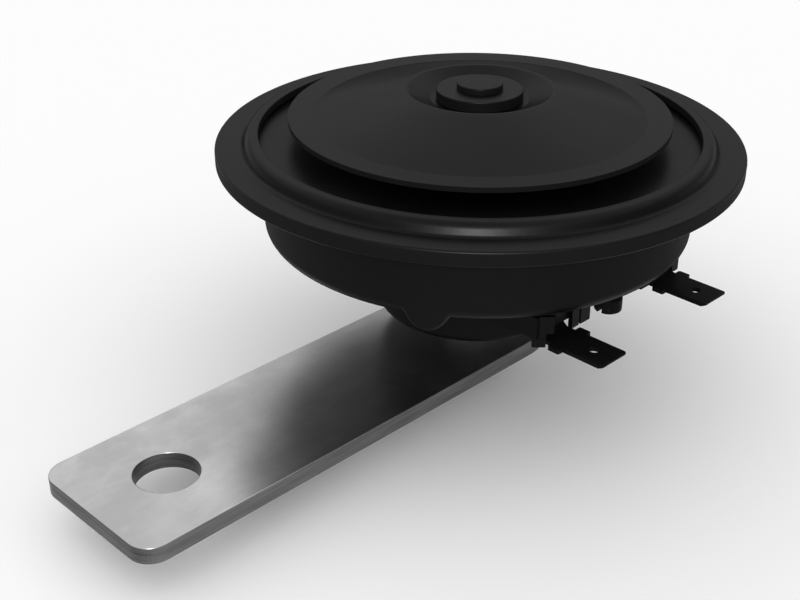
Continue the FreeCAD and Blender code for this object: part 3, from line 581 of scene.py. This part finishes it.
def paint(bench):
    """Satin black paint, dull on walls and at grazing angles: faint patches, orange peel, fine grain."""
    colours = finishes()
    place = bench.place()
    patches = bench.noise(place, 70.0, 2.0)
    peel = bench.noise(place, 900.0, 2.0)
    grain = bench.noise(place, 5200.0, 2.0)
    wall = 1 - bench.slants()[2].between(0.05, 0.4)
    dull = bench.facing().between(0.70, 0.92).larger(0.75 * wall)
    return bench.surface(
        Base_Color=bench.blend(patches.between(0.35, 0.7), colours.paint, colours.paint_light),
        Roughness=colours.paint_rough + 0.10 * patches + 0.05 * grain + colours.paint_dull * dull,
        IOR=colours.paint_ior,
        Normal=bench.bump(peel + 0.15 * grain, 0.00004, 0.35),
    )


def zinc(bench):
    """Zinc plating: clouds a few centimetres wide with fine wisps, streaked sides, and painted shade
    darkening the sides and more so the cut ends.
    """
    colours = finishes()
    place = bench.place()
    cloud = bench.noise(place, 42.0, 4.0, 0.6).between(0.38, 0.66)
    wisp = bench.noise(bench.place(scale=(90.0, 210.0, 90.0)), 1.0, 5.0, 0.65).between(0.42, 0.72)
    _, side_on, level = bench.slants()
    top = level.between(0.4, 0.8)
    tint = bench.blend(cloud * 0.62 + 0.38 * wisp, colours.zinc, colours.zinc_cloud)
    layers = bench.noise(bench.place(scale=(110.0, 110.0, 2600.0)), 1.0, 3.0)
    # Painted shade: long sides lie between the darkest end colour and the lighter side colour, with real
    # streaks from the layers.
    rolled = 0.45 * layers.between(0.3, 0.72) + 0.55 * side_on ** 3.0
    side = bench.blend(rolled, colours.zinc_streak_and_end_shade, colours.zinc_streak_and_side_shade)
    return bench.surface(
        # Painted shade: walls take the darker side and end colours, level faces the plating's own tint.
        Base_Color=bench.blend(top, side, tint),
        Metallic=1.0,
        Roughness=colours.zinc_rough + 0.012 * cloud + 0.10 * (1 - top),
        Normal=bench.bump(layers * (1 - top), 0.00002),
    )


def zinc_fixing(bench):
    """The same plating on nuts and washers, a little duller."""
    colours = finishes()
    place = bench.place()
    cloud = bench.noise(place, 260.0, 3.0)
    grain = bench.noise(place, 3000.0, 2.0)
    return bench.surface(
        Base_Color=bench.blend(cloud, colours.zinc, colours.zinc_cloud),
        Metallic=1.0,
        Roughness=colours.fixing_rough + 0.14 * cloud,
        Normal=bench.bump(grain, 0.00001, 0.5),
    )


def turned_steel(bench):
    """Plain steel with fine turning marks round the horn's axis."""
    colours = finishes()
    x, y, z = bench.axes(bench.place(centre=(*AXIS, 0.0)))
    radius = (x * x + y * y).root()
    marks = ((radius + z) * (TURN / colours.turning_pitch)).sine()
    tone = bench.noise(bench.place(), 300.0, 3.0)
    darker = tuple(0.75 * c for c in colours.steel)
    return bench.surface(
        Base_Color=bench.blend(tone, darker, colours.steel),
        Metallic=1.0,
        Roughness=colours.fixing_rough + 0.12 * tone,
        Normal=bench.bump(marks, 0.000003, 0.6),
    )


def spring_steel(bench):
    """Bright rolled strip with fine streaks."""
    colours = finishes()
    streak = bench.noise(bench.place(scale=(3000.0, 150.0, 3000.0)), 1.0, 2.0)
    tone = bench.noise(bench.place(), 200.0, 2.0)
    brighter = tuple(min(1.0, 1.25 * c) for c in colours.steel)
    return bench.surface(
        Base_Color=bench.blend(tone, colours.steel, brighter),
        Metallic=1.0,
        Roughness=colours.fixing_rough + 0.10 * streak,
        Normal=bench.bump(streak, 0.000004),
    )


def moulding(bench):
    """Black glass-filled moulding: faint mottling and a fine grain."""
    colours = finishes()
    place = bench.place()
    mottle = bench.noise(place, 350.0, 3.0)
    grain = bench.noise(place, 6000.0, 2.0)
    lighter = tuple(1.8 * c for c in colours.moulding)
    return bench.surface(
        Base_Color=bench.blend(mottle, colours.moulding, lighter),
        Roughness=0.42 + 0.14 * mottle,
        IOR=colours.moulding_ior,
        Normal=bench.bump(grain, 0.00001, 0.6),
    )


def blade_paint(bench):
    """Black finish on the blades, a little rubbed on its faces along their length."""
    colours = finishes()
    rub = bench.noise(bench.place(scale=(2400.0, 120.0, 900.0)), 1.0, 3.0)
    rubbed = tuple(1.6 * c for c in colours.blade)
    return bench.surface(
        Base_Color=bench.blend(rub.between(0.45, 0.75), colours.blade, rubbed),
        Roughness=0.36 + 0.12 * rub,
        IOR=colours.blade_ior,
        Normal=bench.bump(rub, 0.000006, 0.6),
    )


def plain(bench, colour_name, metallic, roughness, scale, depth):
    """A finish with soft tone changes and a nine times finer grain."""
    place = bench.place()
    tone = bench.noise(place, scale, 3.0)
    grain = bench.noise(place, 9.0 * scale, 2.0)
    tint = getattr(finishes(), colour_name)
    darker = tuple(0.72 * c for c in tint)
    return bench.surface(
        Base_Color=bench.blend(tone, darker, tint),
        Metallic=metallic,
        Roughness=roughness + 0.12 * tone,
        Normal=bench.bump(grain, depth, 0.6),
    )


def winding(bench):
    """Layers of enamelled wire: rings a pitch apart along the axis, each a round hump, with painted shade
    in the grooves between turns.
    """
    colours = finishes()
    _, _, z = bench.axes(bench.place())
    hump = abs((z * (math.pi / colours.wire_pitch)).sine()).root()
    tone = bench.noise(bench.place(), 500.0, 2.0)
    darker = tuple(0.5 * c for c in colours.copper)
    return bench.surface(
        # Painted shade: the grooves between the turns are coloured darker.
        Base_Color=bench.blend(hump, darker, colours.copper),
        Metallic=0.9,
        Roughness=colours.fixing_rough + 0.10 * tone,
        Normal=bench.bump(hump, 0.00012),
    )


FINISHES = {
    "satin_paint": paint,
    "zinc_strip": zinc,
    "zinc_fixing": zinc_fixing,
    "turned_steel": turned_steel,
    "spring_strip": spring_steel,
    "board_moulding": moulding,
    "blade_paint": blade_paint,
    "wound_copper": winding,
}

# For each plain finish: colour, metallic, roughness, scale of the tone changes and depth of the grain
PLAIN_FINISHES = {
    "plain_brass": ("brass", 1.0, 0.28, 400.0, 0.000006),
    "fibre_sheet": ("fibre", 0.0, 0.55, 900.0, 0.00001),
    "gasket_paper": ("paper", 0.0, 0.75, 1200.0, 0.00001),
    "bobbin_moulding": ("bobbin", 0.0, 0.42, 250.0, 0.000006),
    "lead_lacquer": ("sleeve", 0.0, 0.35, 700.0, 0.000006),
    "contact_metal": ("zinc_cloud", 1.0, 0.30, 800.0, 0.000004),
}


def material(name):
    """A finish by name, made the first time that it is asked for."""
    made = bpy.data.materials.get(name)
    if made:
        return made
    bench = Bench(bpy.data.materials.new(name))
    return plain(bench, *PLAIN_FINISHES[name]) if name in PLAIN_FINISHES else FINISHES[name](bench)


# Surfaces of the horn

def bar_surfaces():
    """The strip: square free end with small corners, round end about the stud, and its two holes."""
    s = sizes()
    (left, front, bottom), (right, back, top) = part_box("bracket_bar")
    half = (back - front) / 2
    tip = right - half
    end = arc((tip, 0), half, -math.pi / 2, math.pi / 2, steps=64)
    corner = rounded_path([(tip, back, 0), (left, back, s.bar_corner), (left, front, s.bar_corner),
                           (tip, front, 0)], arc_steps=10, run_steps=3)
    outline = np.concatenate([end, corner[1:-1]])
    fixing_hole = circle((0, 0), s.bar_hole, clockwise=True)
    stud_hole = circle(AXIS, s.stud_hole, steps=64, clockwise=True)
    return plate([outline, fixing_hole, stud_hole], bottom, top, s.bar_edge)


def housing_levels():
    """Heights of the cup's underside, the pan's underside and the flange's underside."""
    return high("seat_nut")[2], high("adjuster_nut")[2], low("lower_gasket")[2] - sizes().housing_sheet


def rib_fall(radius, away):
    """How far the rib lowers the pan at a radius and an angle away from the rib's own direction.

    Under a round of radius R whose centre is c above the pan, the fall is sqrt(R^2 - d^2) - c, d being the
    distance from the rib's centre line. A quadratic blend of width k takes it softly to zero.
    """
    s = sizes()
    inner = s.pan_radius - s.rib_length
    along, across = radius * np.cos(away), radius * np.sin(away)
    off_line = np.hypot(across, np.maximum(inner - along, 0))
    raw = np.sqrt(np.maximum(s.rib_radius ** 2 - off_line ** 2, 0)) - (s.rib_radius - s.rib_drop)
    return np.maximum(raw, 0) + np.maximum(s.rib_blend - np.abs(raw), 0) ** 2 / (4 * s.rib_blend)


def housing_surface(rib_steps=140, other_steps=240):
    """The turned sheet of the cup and pan, lowered along the rib.

    Points on the pan's floor go down by the rib's fall. Those on the round of its lower edge go down as
    much, and that round shrinks towards the wall in step, from the pan's own edge radius to the rib's.
    """
    s = sizes()
    cup_bottom, pan_bottom, flange = housing_levels()
    outer = [
        (s.stud_hole, cup_bottom, 0), (s.cup_radius, cup_bottom, s.cup_edge),
        (s.cup_radius + s.cup_draft, pan_bottom, s.shoulder), (s.pan_radius, pan_bottom, s.pan_edge),
        (s.pan_radius + s.pan_draft, flange, s.shoulder), (reach("lower_gasket"), flange, 0),
    ]
    path = rounded_path(outer, arc_steps=8, run_steps=9)
    inner = path - s.housing_sheet * mitred_normals(path, False)
    near_rib = s.rib_angle + np.linspace(-s.rib_span, s.rib_span, rib_steps + 1)
    elsewhere = s.rib_angle + np.linspace(s.rib_span, TURN - s.rib_span, other_steps + 1)[1:-1]
    angles = np.concatenate([near_rib, elsewhere])
    away = np.arctan2(np.sin(angles - s.rib_angle), np.cos(angles - s.rib_angle))[:, None]
    sides = []
    for side, level, wall in ((path, pan_bottom, s.pan_radius),
                              (inner, pan_bottom + s.housing_sheet, s.pan_radius - s.housing_sheet)):
        radius, height = side.T
        fall = rib_fall(radius, away)
        above = height > level + TOUCHING
        on_edge = (radius > wall - s.pan_edge) & (height < level + s.pan_edge) & above
        on_floor = (radius > s.cup_radius + s.shoulder) & ~above
        shrink = 1 - (1 - s.rib_edge / s.pan_edge) * np.clip(fall / s.rib_drop, 0, 1)
        new_radius = np.where(on_edge, wall - (wall - radius) * shrink, radius)
        edge_height = level - fall + (height - level) * shrink
        new_height = np.where(on_edge, edge_height, np.where(on_floor, height - fall, height))
        sides.append(np.stack([new_radius, new_height], axis=-1))
    loop = np.concatenate([sides[0], sides[1][:, ::-1]], axis=1)
    return around(AXIS, angles, loop[..., 0], loop[..., 1])


def ring_surface():
    """The rolled front ring: inner lip, bead, flat rim, skirt and hem, one sheet turned about the axis."""
    s = sizes()
    (left, _, hem), (right, _, crown_top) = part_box("front_ring")
    rim = (right - left) / 2
    rim_top = crown_top - s.bead_height
    crown = s.ring_lip + s.lip_width
    return turned(sheet_loop([
        (rim - s.hem_width, hem, 0), (rim, hem, s.rim_edge), (rim, rim_top, s.rim_edge),
        (crown + s.bead_slope, rim_top, s.bead_foot), (crown, crown_top, s.bead_crown),
        (s.ring_lip, crown_top, s.small_edge), (s.ring_lip, crown_top - s.lip_drop, 0),
    ], s.ring_sheet))


def diaphragm_surface():
    """The diaphragm: clamped edge, step and flat middle, one thin sheet turned about the axis."""
    s = sizes()
    (left, _, under), (right, _, top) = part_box("diaphragm")
    flat = top - s.diaphragm_sheet
    return turned(sheet_loop([
        (s.pin_bore, flat, 0), (s.diaphragm_foot - s.diaphragm_step, flat, s.diaphragm_bend),
        (s.diaphragm_foot, under, s.diaphragm_bend), ((right - left) / 2, under, 0),
    ], s.diaphragm_sheet))


def disc_surface():
    """The tone disc: flat seat, dish, crest, cone and flat lip, one sheet turned about the axis."""
    s = sizes()
    rim, seat, crest = reach("tone_disc"), low("clamp_washer")[2], crest_height()
    lip = crest - s.disc_fall
    return turned(sheet_loop([
        (rim, lip + s.disc_lip_drop, 0), (rim - s.disc_lip, lip, s.disc_crease),
        (s.disc_crest, crest, s.disc_bend), (s.disc_seat, seat, s.disc_bend), (s.pin_bore, seat, 0),
    ], s.disc_sheet))


def crest_height():
    """Height of the corner in the crest's section. Its bend rounds that off down to the node's top."""
    s = sizes()
    seat, top = low("clamp_washer")[2], high("tone_disc")[2]
    outer = math.atan2(s.disc_fall, reach("tone_disc") - s.disc_lip - s.disc_crest)
    inner = math.atan2(top - seat, s.disc_crest - s.disc_seat)
    return top + s.disc_bend * (1 / math.cos((inner + outer) / 2) - 1)


# Operators

class HORN_OT_bar(bpy.types.Operator):
    """Makes the mounting bar from its outline and its rounded edge section"""

    bl_idname = "horn.bar"
    bl_label = "Mounting bar"

    def execute(self, context):
        make_piece("mounting_bar", bar_surfaces(), "zinc_strip", BODY, ["bracket_bar"])
        return {"FINISHED"}


class HORN_OT_fixings(bpy.types.Operator):
    """Makes the two nuts and the core with its threaded stud, and finishes the toothed washer"""

    bl_idname = "horn.fixings"
    bl_label = "Nuts and stud"

    def execute(self, context):
        s = sizes()
        bottom, top = low("magnet_core")[2], high("magnet_core")[2]
        core, floor = reach("magnet_core"), low("coil_bobbin")[2]
        rod = threaded_rod(AXIS, bottom, floor, s.stud, s.thread_pitch, s.stud_chamfer)
        groove = (low("coil_retainer")[2], high("coil_retainer")[2])
        waist = core - s.core_groove
        column = turned_solid([
            (0, floor, 0), (core, floor, s.small_edge), (core, groove[0], 0), (waist, groove[0], 0),
            (waist, groove[1], 0), (core, groove[1], 0), (core, top, s.small_edge), (0, top, 0),
        ])
        make_piece("core_and_stud", [rod, column], "turned_steel", BODY, ["magnet_core"])
        for name, node in (("upper_nut", "seat_nut"), ("lower_nut", "bracket_nut")):
            make_piece(name, [hex_nut(node, s.stud)], "zinc_fixing", BODY, [node])
        dress("lock_washer", "zinc_fixing")
        return {"FINISHED"}


class HORN_OT_housing(bpy.types.Operator):
    """Makes the pressed cup and pan with its rib"""

    bl_idname = "horn.housing"
    bl_label = "Rear housing"

    def execute(self, context):
        make_piece("pressed_housing", [housing_surface()], "satin_paint", BODY,
                   ["rear_housing"], crease=math.radians(40))
        return {"FINISHED"}


class HORN_OT_front_ring(bpy.types.Operator):
    """Makes the rolled front ring and the diaphragm that it clamps"""

    bl_idname = "horn.front_ring"
    bl_label = "Front ring"

    def execute(self, context):
        make_piece("rolled_ring", [ring_surface()], "satin_paint", BODY, ["front_ring"])
        sheet = sizes().diaphragm_sheet
        flex = [(*AXIS, low("diaphragm")[2] + sheet), (*AXIS, high("diaphragm")[2] - sheet)]
        make_piece("flexing_diaphragm", [diaphragm_surface()], "satin_paint", BODY,
                   ["diaphragm"], flex=flex)
        return {"FINISHED"}


class HORN_OT_tone_disc(bpy.types.Operator):
    """Makes the tone disc, its washer and the head of the pin that holds them"""

    bl_idname = "horn.tone_disc"
    bl_label = "Tone disc"

    def execute(self, context):
        s = sizes()
        edge, bore, pin_radius = s.small_edge, s.pin_bore, s.pin_bore - s.pin_gap
        make_piece("sounding_disc", [disc_surface()], "satin_paint", VIBRATOR, ["tone_disc"])
        radius, bottom, top = reach("clamp_washer"), low("clamp_washer")[2], high("clamp_washer")[2]
        washer = turned_ring([
            (bore, bottom, 0), (radius, bottom, edge), (radius, top, edge), (bore, top, 0),
        ])
        make_piece("disc_washer", [washer], "satin_paint", VIBRATOR, ["clamp_washer"])
        head, foot, crown = reach("armature_stud"), low("armature_stud")[2], high("armature_stud")[2]
        pin = turned_solid([
            (0, foot, 0), (pin_radius, foot, 0), (pin_radius, top, 0), (head, top, 0), (head, crown, edge),
            (0, crown, 0),
        ])
        make_piece("riveted_pin", [pin], "satin_paint", VIBRATOR, ["armature_stud"])
        for node in ("tone_disc_spacer", "armature"):
            dress(node, "turned_steel")
        dress("breaker_pusher", "fibre_sheet")
        return {"FINISHED"}


class HORN_OT_terminals(bpy.types.Operator):
    """Finishes the moulded board, the blades and the rivets"""

    bl_idname = "horn.terminals"
    bl_label = "Terminals"

    def execute(self, context):
        dress("terminal_board", "board_moulding")
        for node in ("terminal_blade_left", "terminal_blade_right"):
            dress(node, "blade_paint")
        dress("terminal_rivets", "plain_brass")
        return {"FINISHED"}


class HORN_OT_adjuster(bpy.types.Operator):
    """Makes the slotted adjusting screw and its lock nut"""

    bl_idname = "horn.adjuster"
    bl_label = "Adjusting screw"

    def execute(self, context):
        s = sizes()
        (left, _, bottom), (right, _, top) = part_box("adjuster_screw")
        centre, radius = middle("adjuster_screw")[:2], (right - left) / 2
        floor, shoulder = bottom + s.slot_depth, bottom + s.slot_depth + s.screw_collar
        collar = turned_solid([(0, floor, 0), (radius, floor, 0), (radius, shoulder, s.small_edge),
                               (0, shoulder, 0)], centre)
        surfaces = [threaded_rod(centre, shoulder, top, radius, s.screw_pitch, chamfer=0.0), collar]
        half_arc = math.pi / 2 - math.asin(s.slot_width / 2 / radius)
        for side in (-1, 1):
            outwards = side * math.pi / 2
            cheek = arc(centre, radius, outwards - half_arc, outwards + half_arc, steps=32)
            surfaces += plate([cheek], bottom, floor, s.small_edge)
        make_piece("slotted_screw", surfaces, "blade_paint", BODY, ["adjuster_screw"])
        make_piece("screw_nut", [hex_nut("adjuster_nut", radius)], "blade_paint", BODY,
                   ["adjuster_nut"])
        return {"FINISHED"}


class HORN_OT_inner_parts(bpy.types.Operator):
    """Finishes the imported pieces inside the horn"""

    bl_idname = "horn.inner_parts"
    bl_label = "Inner parts"

    def execute(self, context):
        inner = {
            "gasket_paper": ("lower_gasket", "upper_gasket"),
            "bobbin_moulding": ("coil_bobbin",),
            "wound_copper": ("coil_winding",),
            "spring_strip": ("coil_retainer", "breaker_carrier", "breaker_spring", "breaker_fixed_arm"),
            "fibre_sheet": ("inner_insulators", "breaker_insulators"),
            "plain_brass": ("solder_tags",),
            "turned_steel": ("carrier_rivets", "breaker_rivet"),
            "contact_metal": ("moving_contact", "fixed_contact"),
            "lead_lacquer": ("coil_lead_to_tag", "coil_lead_to_breaker", "breaker_lead_to_tag"),
        }
        for finish, nodes in inner.items():
            for node in nodes:
                dress(node, finish)
        return {"FINISHED"}


def aimed(data, place, target):
    """Puts a lamp or a camera in its place, facing its target."""
    made = bpy.data.objects.new(data.name, data)
    made.location = place
    made.rotation_euler = (Vector(target) - Vector(place)).to_track_quat("-Z", "Y").to_euler()
    bpy.context.scene.collection.objects.link(made)
    return made


def soft_lamp(stage):
    """A square lamp that only makes highlights, and leaves the level of the light as it is."""
    lamp = bpy.data.lights.new("front_lamp", "AREA")
    lamp.size = stage.lamp_size
    lamp.energy = stage.lamp
    aimed(lamp, stage.lamp_place, (*AXIS, stage.lamp_height)).visible_diffuse = False


def viewer(stage):
    """The camera at the photograph's viewing angle."""
    camera = bpy.data.cameras.new("camera")
    camera.lens = stage.lens
    camera.sensor_width = stage.sensor
    camera.clip_start = stage.near
    return aimed(camera, stage.camera_place, stage.camera_target)


def soft_sky(stage):
    """White surroundings, brighter overhead than near the horizon."""
    bench = Bench(bpy.data.worlds.new("soft_sky"))
    source = bench.node("ShaderNodeTexCoord", {}, {})
    across, along, up = bench.axes(Wire(bench, source.outputs["Generated"]))
    height = up + stage.sky_tilt * (along - across)
    level = height.between(math.sin(stage.horizon), math.sin(stage.zenith))
    low_share = stage.horizon_sky / stage.sky
    return bench.finish("Background", Color=(1.0, 1.0, 1.0, 1.0),
                        Strength=stage.sky * (low_share + (1 - low_share) * level))


def floor_finish(stage):
    """A pale matt floor with a very faint mottle, a little lighter to the camera and in reflections."""
    bench = Bench(bpy.data.materials.new("pale_floor"))
    tone = bench.noise(bench.place(), 3.0, 2.0)
    path = bench.node("ShaderNodeLightPath", {}, {})
    camera, glossy, through = [Wire(bench, path.outputs[name]) for name in
                               ("Is Camera Ray", "Is Glossy Ray", "Is Transmission Ray")]
    seen = camera.larger(glossy).larger(through)
    return bench.surface(
        Base_Color=bench.blend(tone * 0.02, stage.floor_colour, (1.0, 1.0, 1.0)),
        Roughness=0.9,
        Specular_IOR_Level=0.0,
        Emission_Color=bench.blend(seen, (0.0, 0.0, 0.0), (1.0, 1.0, 1.0)),
        Emission_Strength=stage.floor_lift,
    )


class HORN_OT_stage(bpy.types.Operator):
    """Makes the floor, the white surroundings, the lamp and the camera"""

    bl_idname = "horn.stage"
    bl_label = "Stage"

    def execute(self, context):
        scene = context.scene
        stage = scene.horn_stage
        edge = circle(AXIS, stage.floor_radius)
        level = np.full(len(edge), CAD_BOX[0][2] - stage.floor_gap)
        mesh = bpy.data.meshes.new("floor")
        mesh.from_pydata(np.column_stack([edge, level]), [], [list(range(len(edge)))])
        mesh.materials.append(floor_finish(stage))
        floor = bpy.data.objects.new("floor", mesh)
        scene.collection.objects.link(floor)
        scene.world = soft_sky(stage)
        soft_lamp(stage)
        scene.camera = viewer(stage)
        scene.view_settings.view_transform = "Standard"
        return {"FINISHED"}


class HORN_PT_panel(bpy.types.Panel):
    """Lists the horn's pieces and settings"""

    bl_idname = "HORN_PT_panel"
    bl_label = "Disc horn"
    bl_space_type = "VIEW_3D"
    bl_region_type = "UI"
    bl_category = "Horn"

    def draw(self, context):
        layout = self.layout
        for operator in OPERATORS:
            layout.operator(operator.bl_idname)
        for group in (context.scene.horn_sizes, context.scene.horn_finishes, context.scene.horn_stage):
            box = layout.box()
            for name in group.__annotations__:
                box.prop(group, name)


OPERATORS = (HORN_OT_bar, HORN_OT_fixings, HORN_OT_housing, HORN_OT_front_ring, HORN_OT_tone_disc,
             HORN_OT_terminals, HORN_OT_adjuster, HORN_OT_inner_parts, HORN_OT_stage)
CLASSES = (HornSizes, HornFinishes, HornStage, *OPERATORS, HORN_PT_panel)


def register():
    for made in CLASSES:
        bpy.utils.register_class(made)
    bpy.types.Scene.horn_sizes = PointerProperty(type=HornSizes)
    bpy.types.Scene.horn_finishes = PointerProperty(type=HornFinishes)
    bpy.types.Scene.horn_stage = PointerProperty(type=HornStage)


def unregister():
    del bpy.types.Scene.horn_stage
    del bpy.types.Scene.horn_finishes
    del bpy.types.Scene.horn_sizes
    for made in reversed(CLASSES):
        bpy.utils.unregister_class(made)


def main():
    """Registers the classes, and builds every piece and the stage."""
    register()
    for build in (bpy.ops.horn.bar, bpy.ops.horn.fixings, bpy.ops.horn.housing, bpy.ops.horn.front_ring,
                  bpy.ops.horn.tone_disc, bpy.ops.horn.terminals, bpy.ops.horn.adjuster,
                  bpy.ops.horn.inner_parts, bpy.ops.horn.stage):
        build()


if __name__ == "__main__":
    main()
